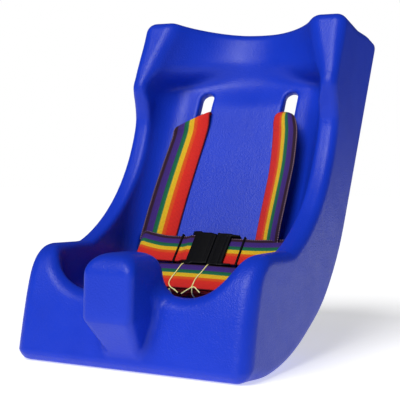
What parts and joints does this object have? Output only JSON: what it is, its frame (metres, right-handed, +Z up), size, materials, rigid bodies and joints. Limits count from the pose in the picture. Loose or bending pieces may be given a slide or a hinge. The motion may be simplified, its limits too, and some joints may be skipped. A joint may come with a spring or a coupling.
{
  "type": "child positioning seat",
  "caption": "One-piece moulded foam seat with high wings, a pommel and a rocker base, worn with a webbing shoulder and waist harness that a side-release buckle closes.",
  "frame": {"origin": "middle of the bounding box in plan, on the flat sole", "axes": "+X to the right as seen from the front, +Y from the pommel towards the backrest, +Z up"},
  "size_m": [0.277, 0.4227, 0.404],
  "materials": {
    "shell": "soft-touch self-skinned foam, fine grain",
    "board": "unfinished plywood, hidden",
    "webbing": "woven polyester webbing, lengthwise colour bands",
    "black_plastic": "moulded acetal, fine satin",
    "tie": "plastic-coated wire"
  },
  "bodies": {
    "seat": {"seat_shell": "shell", "back_insert_board": "board", "shoulder_strap_left": "webbing", "shoulder_strap_right": "webbing", "waist_belt_left": "webbing", "waist_belt_right": "webbing", "buckle_housing": "black_plastic", "mounting_strap": "webbing", "twist_tie_left": "tie", "twist_tie_right": "tie"},
    "slider_shoulder_left": {"shoulder_slider_left": "black_plastic"},
    "slider_shoulder_right": {"shoulder_slider_right": "black_plastic"},
    "slider_waist_left": {"waist_slider_left": "black_plastic"},
    "slider_waist_right": {"waist_slider_right": "black_plastic"},
    "tongue": {"buckle_tongue": "black_plastic"},
    "latch_upper": {"latch_arm_upper": "black_plastic"},
    "latch_lower": {"latch_arm_lower": "black_plastic"},
    "keeper_left": {"belt_keeper_left": "black_plastic"},
    "keeper_right": {"belt_keeper_right": "black_plastic"}
  },
  "joints": [
    {"name": "buckle_release", "type": "slide", "parent": "seat", "child": "tongue", "axis": [1, 0, 0], "range_m": [0, 0.022], "deforming": ["latch_arm_upper", "latch_arm_lower", "waist_belt_right"]},
    {"name": "latch_upper_press", "type": "hinge", "parent": "tongue", "child": "latch_upper", "pos_m": [0.0079, 0.01641, 0.12991], "axis": [0, -0.766, 0.6428], "range_deg": [0, 14], "stiffness_Nm_per_rad": 0.05},
    {"name": "latch_lower_press", "type": "hinge", "parent": "tongue", "child": "latch_lower", "pos_m": [0.0079, -0.00441, 0.10509], "axis": [0, 0.766, -0.6428], "range_deg": [0, 14], "stiffness_Nm_per_rad": 0.05},
    {"name": "keeper_left_slide", "type": "slide", "parent": "seat", "child": "keeper_left", "axis": [1, 0, 0], "range_m": [-0.02, 0.007]},
    {"name": "keeper_right_slide", "type": "slide", "parent": "tongue", "child": "keeper_right", "axis": [1, 0, 0], "range_m": [-0.004, 0.02]},
    {"name": "shoulder_adjust_left", "type": "slide", "parent": "seat", "child": "slider_shoulder_left", "axis": [1, 0, 0], "range_m": [-0.003, 0.012]},
    {"name": "shoulder_adjust_right", "type": "slide", "parent": "seat", "child": "slider_shoulder_right", "axis": [-1, 0, 0], "range_m": [-0.003, 0.012]},
    {"name": "waist_adjust_left", "type": "slide", "parent": "seat", "child": "slider_waist_left", "axis": [1, 0, 0], "range_m": [-0.006, 0.018]},
    {"name": "waist_adjust_right", "type": "slide", "parent": "seat", "child": "slider_waist_right", "axis": [-1, 0, 0], "range_m": [-0.006, 0.018]}
  ],
  "couplings": [
    {"joint": "latch_lower_press", "follows": "latch_upper_press", "ratio": 1}
  ]
}
